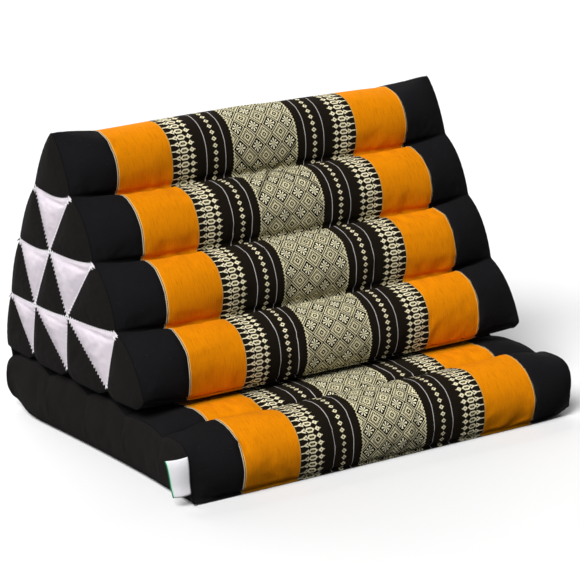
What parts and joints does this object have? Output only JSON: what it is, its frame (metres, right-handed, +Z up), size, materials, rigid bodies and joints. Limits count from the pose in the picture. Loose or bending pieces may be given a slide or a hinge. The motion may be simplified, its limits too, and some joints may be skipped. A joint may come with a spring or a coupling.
{
  "type": "triangle cushion with a fold-out seat mat",
  "caption": "Stuffed triangle back cushion of sewn channels, joined by a cloth hinge to the flat channelled seat mat that it stands on.",
  "frame": {"origin": "on the ground under the middle of the seat mat", "axes": "+X along the channels, +Y towards the back where the cushion and mat are joined, +Z up"},
  "size_m": [0.5429, 0.3932, 0.339],
  "materials": {
    "cushion_cloth": "black cotton with bands of orange plain weave and olive brocade",
    "mat_cloth": "black cotton with bands of orange plain weave and olive brocade",
    "black_cotton": "matt plain weave",
    "white_cotton": "matt plain weave, puffed patches",
    "white_tape": "smooth narrow tape",
    "white_thread": "sewing thread"
  },
  "bodies": {
    "root": {"wedge_cushion": "cushion_cloth", "seat_mat": "mat_cloth", "hinge_strip": "black_cotton", "side_tab": "white_tape"}
  },
  "joints": []
}
